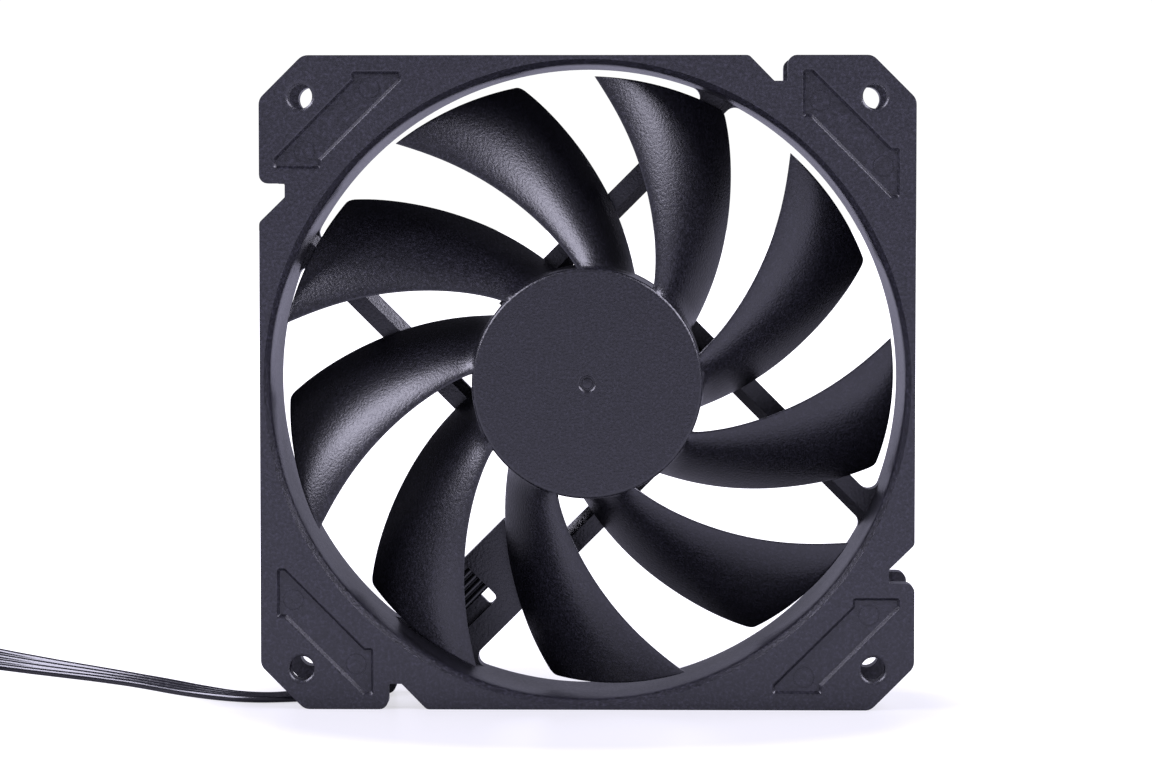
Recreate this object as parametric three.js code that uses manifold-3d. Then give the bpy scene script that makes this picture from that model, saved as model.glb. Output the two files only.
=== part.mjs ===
// 120 mm axial case fan: moulded housing, nine-blade impeller, brushless motor,
// four-wire lead with its connector. Millimetres, +Z up.
// The fan stands on the lower edge of its frame. Its axis runs along Y through
// X = 0, Z = 60. The intake face is at Y = -12.5, the strut side at Y = +12.5.
//
// Most of the fan is drawn in "face" coordinates: x to the right, y downwards,
// z from the intake face towards the back. The fan group turns these upright.
import * as THREE from 'three';
import { mergeVertices, mergeGeometries } from 'three/addons/utils/BufferGeometryUtils.js';
import Module from 'manifold-3d';

// ---------- driving dimensions ----------
const SIZE = 120;               // frame width and height
const DEPTH = 25;               // frame depth
const HALF = SIZE / 2;
const HOLE_PITCH = 105;         // fixing hole centres
const HOLE_R = 2.25;            // fixing hole radius
const CORNER_CHAMFER = 8;       // 45 degree corner cut
const FLANGE_T = 4;             // thickness of each square flange
const DUCT_R = 58.15;              // inner radius of the air duct
const DUCT_OUT = 59.9;          // outer radius of the duct wall
const MOUTH_R = 59.1;           // radius of the rounded intake rim
const MOUTH_DEPTH = 1.6;
const NOTCH = { slope: 30.5, floor: 25.9, wall: 23.4, depth: 4.7, r: 1.6 };
const RECESS_DEPTH = 0.9;
const BASE_R = 21.5;            // motor base
const STRUT = { t0: 17.2, t1: 22.0, z0: 20.2, z1: 24.7 };
const PLATE = { s0: 30.3, t0: 7.5 };      // wide lead-carrying end of one strut
const HUB_R = 21.2;             // impeller hub at the face
const HUB_SKIRT_R = 21.45;      // impeller hub at its open end
const HUB_FACE_Z = 0.6;
const HUB_END_Z = 18.2;
const BLADES = 9;
const TIP_R = 56.2;             // blade tip radius
const SHAFT_R = 1.5;
const BORE_R = 1.58;
const LEAD = { w: 5.4, t: 1.35, at: 12.0, out: 8.6 };   // flat four-wire lead; it leaves the base at t = out
const CABLE_R = 1.3;            // plain tube that stands for the flat lead outside
const COIL = { x: -153, y: 27.4, r0: 25.3, r1: 31.6, z0: 1.0, z1: 6.5 };
const PLUG = { w: 10.2, h: 4.6, l: 12.8, pitch: 2.54 };
const GAP = 0.3;

const D2R = Math.PI / 180;
const wasm = await Module();
wasm.setup();

// ---------- helpers ----------
function signedVolume(g) {
  const p = g.attributes.position.array, ix = g.index.array;
  let v = 0;
  for (let i = 0; i < ix.length; i += 3) {
    const a = ix[i] * 3, b = ix[i + 1] * 3, c = ix[i + 2] * 3;
    v += p[a] * (p[b + 1] * p[c + 2] - p[b + 2] * p[c + 1])
       - p[a + 1] * (p[b] * p[c + 2] - p[b + 2] * p[c])
       + p[a + 2] * (p[b] * p[c + 1] - p[b + 1] * p[c]);
  }
  return v / 6;
}
function clean(geom) {
  let g = geom.clone();
  for (const k of Object.keys(g.attributes)) if (k !== 'position') g.deleteAttribute(k);
  g = mergeVertices(g, 1e-4);
  const ix = [];
  for (let i = 0; i < g.index.count; i += 3) {
    const a = g.index.getX(i), b = g.index.getX(i + 1), c = g.index.getX(i + 2);
    if (a !== b && b !== c && a !== c) ix.push(a, b, c);
  }
  g.setIndex(ix);
  if (signedVolume(g) < 0) {
    for (let i = 0; i < ix.length; i += 3) { const t = ix[i]; ix[i] = ix[i + 1]; ix[i + 1] = t; }
    g.setIndex(ix);
  }
  return g;
}
function man(geom) {
  const g = clean(geom);
  return new wasm.Manifold(new wasm.Mesh({
    numProp: 3,
    vertProperties: new Float32Array(g.attributes.position.array),
    triVerts: new Uint32Array(g.index.array),
  }));
}
function fromMan(m) {
  const mesh = m.getMesh();
  const g = new THREE.BufferGeometry();
  const n = mesh.numProp, src = mesh.vertProperties, out = new Float32Array(src.length / n * 3);
  for (let i = 0; i < src.length / n; i++) for (let k = 0; k < 3; k++) out[i * 3 + k] = src[i * n + k];
  g.setAttribute('position', new THREE.BufferAttribute(out, 3));
  g.setIndex(new THREE.BufferAttribute(new Uint32Array(mesh.triVerts), 1));
  g.computeVertexNormals();
  return g;
}
const union = (list) => list.reduce((a, b) => a.add(b));
// closed polygon with rounded corners: points are [x, y, radius]
function roundedShape(pts, seg = 3) {
  const n = pts.length, out = [];
  for (let i = 0; i < n; i++) {
    const [x, y, r = 0] = pts[i];
    const a = pts[(i + n - 1) % n], b = pts[(i + 1) % n];
    if (!r) { out.push(new THREE.Vector2(x, y)); continue; }
    const u = new THREE.Vector2(a[0] - x, a[1] - y).normalize();
    const v = new THREE.Vector2(b[0] - x, b[1] - y).normalize();
    const half = Math.acos(THREE.MathUtils.clamp(u.dot(v), -1, 1)) / 2;
    const d = r / Math.tan(half), c = r / Math.sin(half);
    const m = u.clone().add(v).normalize();
    const cx = x + m.x * c, cy = y + m.y * c;
    const p0 = [x + u.x * d, y + u.y * d], p1 = [x + v.x * d, y + v.y * d];
    let a0 = Math.atan2(p0[1] - cy, p0[0] - cx), a1 = Math.atan2(p1[1] - cy, p1[0] - cx);
    while (a1 - a0 > Math.PI) a1 -= 2 * Math.PI;
    while (a1 - a0 < -Math.PI) a1 += 2 * Math.PI;
    for (let k = 0; k <= seg; k++) {
      const t = a0 + (a1 - a0) * k / seg;
      out.push(new THREE.Vector2(cx + r * Math.cos(t), cy + r * Math.sin(t)));
    }
  }
  return new THREE.Shape(out);
}
function prism(shape, z0, z1) {
  const g = new THREE.ExtrudeGeometry(shape, { depth: z1 - z0, bevelEnabled: false, curveSegments: 10 });
  g.translate(0, 0, z0);
  return g;
}
// solid of revolution about the face-coordinate z axis; profile points are [radius, z]
function spun(profile, seg = 48) {
  const g = new THREE.LatheGeometry(profile.map(([r, z]) => new THREE.Vector2(r, z)), seg);
  g.rotateX(Math.PI / 2);
  return g;
}
const tube = (r0, r1, z0, z1, seg = 48) => spun([[r0, z0], [r1, z0], [r1, z1], [r0, z1], [r0, z0]], seg);
const disc = (r, z0, z1, seg = 48) => spun([[0, z0], [r, z0], [r, z1], [0, z1]], seg);
function block(x0, x1, y0, y1, z0, z1) {
  const g = new THREE.BoxGeometry(x1 - x0, y1 - y0, z1 - z0);
  g.translate((x0 + x1) / 2, (y0 + y1) / 2, (z0 + z1) / 2);
  return g;
}
// strut coordinates: s runs outwards along the strut, t is its offset from the fan axis.
// Turn 0 is the lower-left strut that carries the lead.
function strutMatrix(turn) {
  const r = Math.SQRT1_2;
  const m = new THREE.Matrix4().set(-r, r, 0, 0, r, r, 0, 0, 0, 0, 1, 0, 0, 0, 0, 1);
  return new THREE.Matrix4().makeRotationZ(turn * Math.PI / 2).multiply(m);
}
function inStrut(geom, turn = 0) {
  const g = clean(geom);
  g.applyMatrix4(strutMatrix(turn));
  return g;
}
function material(color, roughness, metalness = 0) {
  return new THREE.MeshStandardMaterial({ color, roughness, metalness });
}
function part(name, geom, mat) {
  const g = clean(geom);
  g.computeVertexNormals();
  const m = new THREE.Mesh(g, mat);
  m.name = name;
  return m;
}

const blackPlastic = material(0x26262b, 0.62);
const hubPlastic = material(0x232328, 0.6);
const bladePlastic = material(0x222226, 0.45);
const steel = material(0x9a9ca0, 0.35, 1);
const lamination = material(0x6d6f74, 0.5, 1);
const ferrite = material(0x2c2b2c, 0.7);
const brass = material(0xb08d4c, 0.35, 1);
const bronze = material(0x8a6a42, 0.5, 1);
const copper = material(0xb0602f, 0.35, 1);
const nylon = material(0xd9d7cf, 0.5);
const board = material(0x1f5a35, 0.5);
const chipBlack = material(0x151517, 0.5);
const ceramic = material(0xb39a78, 0.6);
const labelFoil = material(0x3a3b40, 0.45);
const pvc = material(0x101012, 0.3);
const plugPlastic = material(0x17171a, 0.5);
const tinned = material(0xc9c6bd, 0.3, 1);

// ---------- housing ----------
const H = HALF, C = CORNER_CHAMFER, N = NOTCH;
function flangeOutline() {
  const side = [
    [-H + C, -H, 2.4], [H - N.slope, -H, 1.2], [H - N.floor, -H + N.depth, 0],
    [H - N.wall, -H + N.depth, 0], [H - N.wall, -H, N.r], [H - C, -H, 2.4],
  ];
  const pts = [];
  for (let k = 0; k < 4; k++) {
    for (const [x, y, r] of side) {
      let px = x, py = y;
      for (let j = 0; j < k; j++) [px, py] = [-py, px];
      pts.push([px, py, r]);
    }
  }
  return roundedShape(pts, 2);
}
function frameGeometry() {
  const outline = flangeOutline();
  let body = union([
    man(prism(outline, 0, FLANGE_T)),
    man(prism(outline, DEPTH - FLANGE_T, DEPTH)),
    man(disc(DUCT_OUT, 1, DEPTH - 1, 96)),
  ]);
  body = body.subtract(man(disc(DUCT_R, -1, DEPTH + 1, 96)));
  body = body.subtract(man(spun([[0, -1], [MOUTH_R + 1.1, -1], [MOUTH_R, 0], [MOUTH_R - 0.45, 0.45],
    [DUCT_R, MOUTH_DEPTH], [0, MOUTH_DEPTH]], 96)));
  // fixing holes with a small countersunk rim on both faces
  for (const sx of [-1, 1]) for (const sy of [-1, 1]) {
    const hole = spun([[0, -1], [HOLE_R + 1.35, -1], [HOLE_R, 0.35], [HOLE_R, DEPTH - 0.35],
      [HOLE_R + 1.35, DEPTH + 1], [0, DEPTH + 1]], 16);
    hole.translate(sx * HOLE_PITCH / 2, sy * HOLE_PITCH / 2, 0);
    body = body.subtract(man(hole));
  }
  // slanted pad recess in each front corner
  const recess = [[16.9, 2.95], [26.0, 2.95], [26.0, 4.5], [11.3, 19.1], [11.3, 20.7], [2.6, 20.7], [2.6, 18.9], [16.9, 4.5]];
  for (let k = 0; k < 4; k++) {
    const pts = recess.map(([x, y]) => {
      let px = x - H, py = y - H;
      for (let j = 0; j < k; j++) [px, py] = [-py, px];
      return new THREE.Vector2(px, py);
    });
    body = body.subtract(man(prism(new THREE.Shape(pts), -1, RECESS_DEPTH)));
  }
  // struts with a sloped flank, reaching from the base into the duct wall
  const { t0, t1, z0, z1 } = STRUT;
  const section = new THREE.Shape([
    new THREE.Vector2(t0, z0 + 1.9), new THREE.Vector2(t0 + 1.7, z0), new THREE.Vector2(t1, z0),
    new THREE.Vector2(t1, z1), new THREE.Vector2(t0, z1),
  ]);
  const strutSolids = [];
  for (let k = 0; k < 4; k++) {
    const g = new THREE.ExtrudeGeometry(section, { depth: 57.5, bevelEnabled: false });
    // extrude axis -> s, section x -> t, section y -> z
    g.applyMatrix4(new THREE.Matrix4().set(0, 0, 1, -2, 1, 0, 0, 0, 0, 1, 0, 0, 0, 0, 0, 1));
    const p = g.attributes.position;                                            // outer end follows the duct wall
    for (let i = 0; i < p.count; i++) if (p.getX(i) > 50) p.setX(i, Math.sqrt(59.0 ** 2 - p.getY(i) ** 2));
    strutSolids.push(man(inStrut(g, k)));
  }
  // wide end of the lead-carrying strut
  let plate = man(inStrut(block(PLATE.s0, 58.6, PLATE.t0, t1, z0, z1)));
  const keep = man(disc(DUCT_R + 0.8, 10, DEPTH, 96));
  plate = plate.intersect(keep);
  let arms = union([...strutSolids.map((m) => m.intersect(keep)), plate]);
  const ta = LEAD.at - LEAD.w / 2 - GAP, tb = LEAD.at + LEAD.w / 2 + GAP;
  arms = arms.subtract(man(inStrut(block(41.5, 62, ta, 17.3, 10, 22.9))));     // channel open to the front
  arms = arms.subtract(man(inStrut(block(20, 43.8, ta, tb, 21.2, 30))));       // channel open to the back
  arms = arms.subtract(man(inStrut(block(41.5, 43.8, ta, 17.3, 10, 30))));     // window between the two
  body = body.add(arms);
  // motor base: floor, rim, bearing boss, board posts, label recess
  let base = union([
    man(disc(BASE_R, 22.8, DEPTH, 48)),
    man(tube(19.7, BASE_R, 19.0, 23.2, 48)),
    man(disc(7.0, 16.7, 23.2, 32)),
  ]);
  for (const a of [20, 140, 260]) {
    const post = disc(1.3, 20.4, 23.2, 12);
    post.translate(14.2 * Math.cos(a * D2R), 14.2 * Math.sin(a * D2R), 0);
    base = base.add(man(post));
  }
  base = base.subtract(man(disc(5.4, 16, 22.8, 32)));
  const shift = LEAD.out - LEAD.at;
  base = base.subtract(man(inStrut(block(12, 24, ta + shift, tb + shift, 20.4, 22.8))));   // lead outlet in the rim
  body = body.add(base);
  body = body.subtract(man(disc(18.9, 24.3, 26, 48)));                          // label recess
  // slot through the duct wall for the lead
  body = body.subtract(man(inStrut(block(53, 62, ta, tb, 18.9, 20.95))));
  return fromMan(body);
}

// ---------- impeller ----------
// blade edges: angle (degrees, from +x towards +y) and depth against radius
function polyval(c, t) { return c.reduce((a, b) => a * t + b, 0); }
const LE = [0.959, 0.782, -2.192, 2.492, -17.34, 43.935];
const TE = [-1.723, 0.481, -0.812, 3.216, -18.883, 70.776];
function edgeAngle(c, r) {
  const rr = Math.max(r, 23), t = (rr - 40) / 20;
  let a = polyval(c, t);
  if (r < 23) {                                  // run on along the same slope to the root
    const t2 = (23.5 - 40) / 20;
    a += (polyval(c, t) - polyval(c, t2)) / 0.5 * (23 - r);
  }
  return a;
}
function bladeSection(r, nc) {
  // camber line in the unrolled cylinder, turning more steeply towards the trailing edge
  const f = (r - 21.2) / (TIP_R - 21.2);
  const z0 = 1.1 + 0.7 * f, z1 = 16.9 + 0.9 * f;
  const a0 = edgeAngle(LE, r) + 0.3 / r / D2R, a1 = edgeAngle(TE, r) - 0.15 / r / D2R;
  const L = (a1 - a0) * D2R * r, Hh = z1 - z0;
  const chordAng = Math.atan2(Hh, L), kappa = 34 * D2R;
  let pts = [], x = 0, y = 0;
  for (let i = 0; i <= nc; i++) {
    pts.push([x, y]);
    const ang = chordAng - kappa / 2 + kappa * (i + 0.5) / nc;
    x += Math.cos(ang); y += Math.sin(ang);
  }
  const k = Math.hypot(L, Hh) / Math.hypot(pts[nc][0], pts[nc][1]);
  pts = pts.map(([px, py]) => [px * k, py * k]);
  // rounded outer corner at the trailing edge
  const rc = 1.0, pull = r > TIP_R - rc ? rc * (1 - Math.sqrt(Math.max(0, 1 - ((r - TIP_R + rc) / rc) ** 2))) : 0;
  const S = Math.hypot(L, Hh), keepT = 1 - pull / S;
  const tmax = 2.3 - 1.0 * f, half = [];
  const up = [], dn = [];
  for (let i = 0; i <= nc; i++) {
    const c = i / nc * keepT, q = c * nc, i0 = Math.min(nc - 1, Math.floor(q)), fr = q - i0;
    const px = pts[i0][0] + (pts[i0 + 1][0] - pts[i0][0]) * fr, py = pts[i0][1] + (pts[i0 + 1][1] - pts[i0][1]) * fr;
    const ang = chordAng - kappa / 2 + kappa * c;
    const w = i / nc;
    const th = Math.max(0.28, 0.5 * tmax * Math.sqrt(Math.sin(Math.PI * Math.min(1, 0.06 + 0.9 * Math.pow(w, 0.75)))));
    up.push([px + th * Math.sin(ang), py - th * Math.cos(ang)]);
    dn.push([px - th * Math.sin(ang), py + th * Math.cos(ang)]);
  }
  const loop = up.concat(dn.reverse());
  return loop.map(([s, zz]) => {
    const a = a0 * D2R + s / r;
    return [r * Math.cos(a), r * Math.sin(a), Math.max(0.75, z0 + zz)];
  });
}
function bladeGeometry() {
  const stations = [20.6, 24.5, 30, 36, 42, 48, 53, 54.8, 55.8, TIP_R];
  const nc = 7, loops = stations.map((r) => bladeSection(r, nc));
  const n = loops[0].length, pos = [], ix = [];
  for (const l of loops) for (const p of l) pos.push(...p);
  for (let i = 0; i < loops.length - 1; i++) for (let j = 0; j < n; j++) {
    const a = i * n + j, b = i * n + (j + 1) % n, c = a + n, d = b + n;
    ix.push(a, b, d, a, d, c);
  }
  const half = n / 2;
  for (const [base, flip] of [[0, true], [(loops.length - 1) * n, false]]) {
    for (let j = 0; j < half - 1; j++) {
      const a = base + j, b = base + j + 1, c = base + n - 1 - j, d = base + n - 2 - j;
      if (flip) ix.push(a, d, b, a, c, d); else ix.push(a, b, d, a, d, c);
    }
  }
  const g = new THREE.BufferGeometry();
  g.setAttribute('position', new THREE.Float32BufferAttribute(pos, 3));
  g.setIndex(ix);
  return g;
}
function impellerGeometry() {
  const z = HUB_FACE_Z;
  let hub = man(spun([[0, z + 0.15], [1.5, z + 0.15], [1.7, z], [HUB_R - 0.8, z], [HUB_R - 0.25, z + 0.25], [HUB_R, z + 0.8],
    [HUB_SKIRT_R, HUB_END_Z], [19.95, HUB_END_Z], [19.95, z + 1.7], [3.6, z + 1.7], [3.6, 6.2],
    [BORE_R, 6.2], [BORE_R, 3.2], [0, 3.2]], 54));
  const blade = man(bladeGeometry());
  const inside = man(disc(20.4, 0.5, 18.3, 54));
  const trimmed = blade.subtract(inside);
  for (let k = 0; k < BLADES; k++) hub = hub.add(trimmed.rotate([0, 0, k * 360 / BLADES]));
  return fromMan(hub);
}

// ---------- motor ----------
function statorShape(boreR, grow) {
  const pts = [], neck = 2.0 + grow, yoke = 7.6 + grow, shoe0 = 12.9 - grow, shoe1 = 15.9, spread = 37;
  for (let k = 0; k < 4; k++) {
    const a = k * 90;
    const add = (r, deg) => pts.push(new THREE.Vector2(r * Math.cos((a + deg) * D2R), r * Math.sin((a + deg) * D2R)));
    const rot = (x, y) => pts.push(new THREE.Vector2(x * Math.cos(a * D2R) - y * Math.sin(a * D2R), x * Math.sin(a * D2R) + y * Math.cos(a * D2R)));
    rot(Math.sqrt(yoke * yoke - neck * neck), -neck);
    rot(shoe0, -neck);
    add(shoe0 + 2.2, -spread + 3);
    for (let d = -spread; d <= spread; d += spread / 4) add(shoe1, d);
    add(shoe0 + 2.2, spread - 3);
    rot(shoe0, neck);
    rot(Math.sqrt(yoke * yoke - neck * neck), neck);
    add(yoke, 35); add(yoke, 55);
  }
  const s = new THREE.Shape(pts);
  const hole = new THREE.Path();
  hole.absarc(0, 0, boreR, 0, Math.PI * 2, true);
  s.holes.push(hole);
  return s;
}
function windingGeometry(k) {
  const s = roundedShape([[-5.4, 5.6, 2.2], [5.4, 5.6, 2.2], [5.4, 17.5, 2.2], [-5.4, 17.5, 2.2]], 4);
  const hole = new THREE.Path([[-2.6, 6.8], [2.6, 6.8], [2.6, 16.4], [-2.6, 16.4]].map(([x, y]) => new THREE.Vector2(x, y)));
  s.holes.push(hole);
  const g = new THREE.ExtrudeGeometry(s, { depth: 3.9, bevelEnabled: false });
  // shape x -> tangential, shape y -> z, extrude -> radial
  g.applyMatrix4(new THREE.Matrix4().set(0, 0, 1, 8.2, 1, 0, 0, 0, 0, 1, 0, 0, 0, 0, 0, 1));
  g.rotateZ(k * Math.PI / 2);
  return g;
}
function clipGeometry() {
  // open retaining ring that snaps into the shaft groove
  const s = new THREE.Shape();
  s.absarc(0, 0, 2.8, 35 * D2R, 325 * D2R, false);
  s.absarc(0, 0, 1.2, 325 * D2R, 35 * D2R, true);
  return prism(s, 20.65, 21.05);
}
function boardGeometry() {
  let b = man(tube(7.4, 17.8, 18.9, 20.1, 40));
  const ta = LEAD.out - LEAD.w / 2, tb = LEAD.out + LEAD.w / 2;
  for (let i = 0; i < 4; i++) {                       // four solder holes for the lead
    const t = ta + (i + 0.5) * (tb - ta) / 4;
    b = b.subtract(man(inStrut((() => { const g = disc(0.35, 18, 21, 8); g.translate(10.4, t, 0); return g; })())));
  }
  return fromMan(b);
}

// ---------- lead held by the housing ----------
function heldLeadGeometry() {
  // centre line in the plane of s (outwards) and z (depth)
  const c = [[9.5, 21.35], [20.5, 21.53], [22.2, 21.55], [23.8, 21.6], [25.4, 21.8], [27, 22.05], [29.5, 22.4], [31, 22.6], [38.5, 22.5], [42.6, 22.05], [46, 21.6], [50.0, 21.1], [53.2, 19.95], [58.35, 19.95]];
  const up = [], dn = [], h = LEAD.t / 2;
  for (let i = 0; i < c.length; i++) {
    const a = c[Math.max(0, i - 1)], b = c[Math.min(c.length - 1, i + 1)];
    const ang = Math.atan2(b[1] - a[1], b[0] - a[0]);
    up.push(new THREE.Vector2(c[i][0] - h * Math.sin(ang), c[i][1] + h * Math.cos(ang)));
    dn.push(new THREE.Vector2(c[i][0] + h * Math.sin(ang), c[i][1] - h * Math.cos(ang)));
  }
  // four corners at each step; a sideways step lies between the base and the channel
  const pos = [], ix = [], n = c.length;
  for (let i = 0; i < n; i++) {
    const q = Math.min(1, Math.max(0, (29.5 - c[i][0]) / 9));
    const at = LEAD.at + (LEAD.out - LEAD.at) * q * q * (3 - 2 * q);
    for (const [v, t] of [[up[i], at - LEAD.w / 2], [up[i], at + LEAD.w / 2], [dn[i], at + LEAD.w / 2], [dn[i], at - LEAD.w / 2]]) pos.push(v.x, t, v.y);
  }
  const quad = (a, b, d, e) => ix.push(a, b, d, a, d, e);
  for (let i = 0; i < n - 1; i++) for (let j = 0; j < 4; j++) {
    const k = (j + 1) % 4;
    quad(i * 4 + j, i * 4 + k, (i + 1) * 4 + k, (i + 1) * 4 + j);
  }
  quad(3, 2, 1, 0);
  quad((n - 1) * 4, (n - 1) * 4 + 1, (n - 1) * 4 + 2, (n - 1) * 4 + 3);
  const g = new THREE.BufferGeometry();
  g.setAttribute('position', new THREE.BufferAttribute(new Float32Array(pos), 3));
  g.setIndex(ix);
  return inStrut(g);
}

// ---------- fan group: face coordinates, stood upright ----------
const fan = new THREE.Group();
fan.rotation.x = -Math.PI / 2;
fan.position.set(0, -DEPTH / 2, HALF);

fan.add(part('frame', frameGeometry(), blackPlastic));
fan.add(part('impeller', impellerGeometry(), bladePlastic));
fan.add(part('rotor_yoke', spun([[4.0, 2.7], [19.6, 2.7], [19.6, 17.2], [18.9, 17.2], [18.9, 3.5], [4.0, 3.5], [4.0, 2.7]], 40), steel));
fan.add(part('rotor_magnet', tube(16.6, 18.6, 6.0, 16.8, 40), ferrite));
fan.add(part('shaft', spun([[0, 3.4], [SHAFT_R - 0.2, 3.4], [SHAFT_R, 3.6], [SHAFT_R, 20.5], [1.0, 20.5], [1.0, 21.2], [SHAFT_R, 21.2],
  [SHAFT_R, 21.8], [SHAFT_R - 0.3, 22.0], [0, 22.0]], 24), steel));
fan.add(part('retaining_clip', clipGeometry(), nylon));
fan.add(part('bearing_tube', tube(4.1, 5.1, 7.0, 22.5, 32), brass));
fan.add(part('sleeve_bearing', tube(BORE_R, 4.0, 8.0, 19.8, 32), bronze));
fan.add(part('oil_washer', tube(1.75, 3.6, 7.25, 7.7, 24), nylon));
fan.add(part('thrust_pad', disc(3.8, 22.1, 22.5, 24), nylon));
fan.add(part('stator_core', prism(statorShape(5.4, 0), 8.6, 14.6), lamination));
fan.add(part('stator_insulator_front', prism(statorShape(5.4, 0.25), 7.1, 8.3), nylon));
fan.add(part('stator_insulator_rear', prism(statorShape(5.4, 0.25), 14.9, 16.1), nylon));
for (let k = 0; k < 4; k++) fan.add(part(`winding_${k + 1}`, windingGeometry(k), copper));
fan.add(part('circuit_board', boardGeometry(), board));
fan.add(part('driver_chip', (() => { const g = block(9.2, 13.2, -2.5, 2.5, 20.4, 21.5); g.rotateZ(-60 * D2R); return g; })(), chipBlack));
fan.add(part('hall_sensor', (() => { const g = block(13.6, 15.6, -2.0, 2.0, 17.3, 18.6); g.rotateZ(45 * D2R); return g; })(), chipBlack));
fan.add(part('filter_capacitor', (() => { const g = block(10.4, 13.6, -0.9, 0.9, 20.4, 21.6); g.rotateZ(-20 * D2R); return g; })(), ceramic));
fan.add(part('sense_resistor', (() => { const g = block(10.8, 12.8, -0.65, 0.65, 20.4, 21.0); g.rotateZ(55 * D2R); return g; })(), chipBlack));
fan.add(part('rear_label', disc(18.6, 24.6, 24.85, 48), labelFoil));
fan.add(part('motor_lead', heldLeadGeometry(), pvc));

// ---------- free lead: row coordinates ----------
const root = new THREE.Group();
root.add(fan);

const octagon = (r) => {
  const s = [];
  for (let i = 0; i < 8; i++) s.push(new THREE.Vector2(r * Math.cos((i + 0.5) * Math.PI / 4), r * Math.sin((i + 0.5) * Math.PI / 4)));
  return new THREE.Shape(s);
};
function sweep(points, steps) {
  const curve = new THREE.CatmullRomCurve3(points.map((p) => new THREE.Vector3(...p)), false, 'centripetal');
  return new THREE.ExtrudeGeometry(octagon(CABLE_R / Math.cos(Math.PI / 8)), { steps, bevelEnabled: false, extrudePath: curve });
}
const F = 1.45;                       // centre height of the tube where it lies on the table
const RUN = [
  [-33.55, 6.7, 9.45], [-35.6, 6.6, 7.45], [-38.6, 6.0, 5.2], [-42.4, 4.6, 3.1], [-47.0, 2.2, 1.85], [-52.0, -0.6, F],
  [-56.7, -2.4, F], [-61.5, -2.9, F], [-66.3, -1.4, F], [-73.2, 3.4, F], [-84.0, 13.6, F], [-95.0, 22.6, F],
  [-105.8, 30.2, F], [-117.4, 38.6, F], [-123.6, 43.2, F],
];
root.add(part('cable_run', sweep(RUN, 40), pvc));
const ring = tube(COIL.r0, COIL.r1, COIL.z0, COIL.z1, 48);
ring.translate(COIL.x, COIL.y, 0);
root.add(part('cable_coil', ring, pvc));

// inner end of the lead, on a 13 mm bend from the coil to the connector
const END = 36.3 * D2R, BEND = 13, RI = 26.0;
const bc = [COIL.x + (RI - BEND) * Math.cos(END), COIL.y + (RI - BEND) * Math.sin(END)];
const bendPoint = (deg, z) => [bc[0] + BEND * Math.cos(END + deg * D2R), bc[1] + BEND * Math.sin(END + deg * D2R), z];
const TAIL = [62, 80, 98, 114, 130].map((d, i) => bendPoint(d, [3.0, 2.7, 2.5, 2.4, 2.4][i]));
root.add(part('cable_tail', sweep(TAIL, 8), pvc));

// connector: four square cavities, two keying ribs, a latch pad
const plugDir = END + 130 * D2R + Math.PI / 2;
const plugAt = bendPoint(130, 0);
const plug = new THREE.Group();
plug.position.set(plugAt[0] + 0.3 * Math.cos(plugDir), plugAt[1] + 0.3 * Math.sin(plugDir), 0.1);
plug.rotation.z = plugDir;
function connectorGeometry() {
  const { w, h, l, pitch } = PLUG;
  let b = man(block(0, l, -w / 2, w / 2, 0, h));
  b = b.add(man(block(1.2, l, -w / 2 + 1.1, -w / 2 + 2.2, h - 0.2, h + 1.1)));
  b = b.add(man(block(1.2, l, w / 2 - 4.6, w / 2 - 3.5, h - 0.2, h + 1.1)));
  for (let i = 0; i < 4; i++) {
    const y = (i - 1.5) * pitch;
    b = b.subtract(man(block(-1, l + 1, y - 0.85, y + 0.85, 1.3, 3.2)));
    b = b.subtract(man(block(3.5, 6.5, y - 0.5, y + 0.5, -1, 1.5)));
  }
  return fromMan(b);
}
plug.add(part('connector_housing', connectorGeometry(), plugPlastic));
for (let i = 0; i < 4; i++) {
  const y = (i - 1.5) * PLUG.pitch;
  plug.add(part(`connector_terminal_${i + 1}`, block(0.9, PLUG.l - 0.8, y - 0.5, y + 0.5, 1.75, 2.75), tinned));
}
root.add(plug);

// tie round the coil, with its head on the outer side
function tieGeometry() {
  const r0 = COIL.r0 - GAP, r1 = COIL.r1 + GAP, z0 = COIL.z0 - GAP, z1 = COIL.z1 + GAP, t = 0.7, w = 1.6;
  let b = man(block(r0 - t, r1 + t, -w, w, z0 - t, z1 + t));
  b = b.subtract(man(block(r0, r1, -w - 1, w + 1, z0, z1)));
  b = b.add(man(block(r1 + 0.35, r1 + 3.0, -w - 0.7, w + 0.7, 2.0, 6.2)));
  return fromMan(b);
}
const tie = part('cable_tie', tieGeometry(), plugPlastic);
tie.rotation.z = 190 * D2R;
tie.position.set(COIL.x, COIL.y, 0);
root.add(tie);

export default root;
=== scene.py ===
# Looks of the 120 mm case fan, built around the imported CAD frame.
# Shapes are drawn in "face" coordinates in millimetres: x right, y down, z from the
# intake face to the back. to_world() stands them up in the row frame, in metres.
import bpy
import bmesh
import math
import numpy as np
from mathutils import Matrix, Vector


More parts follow.
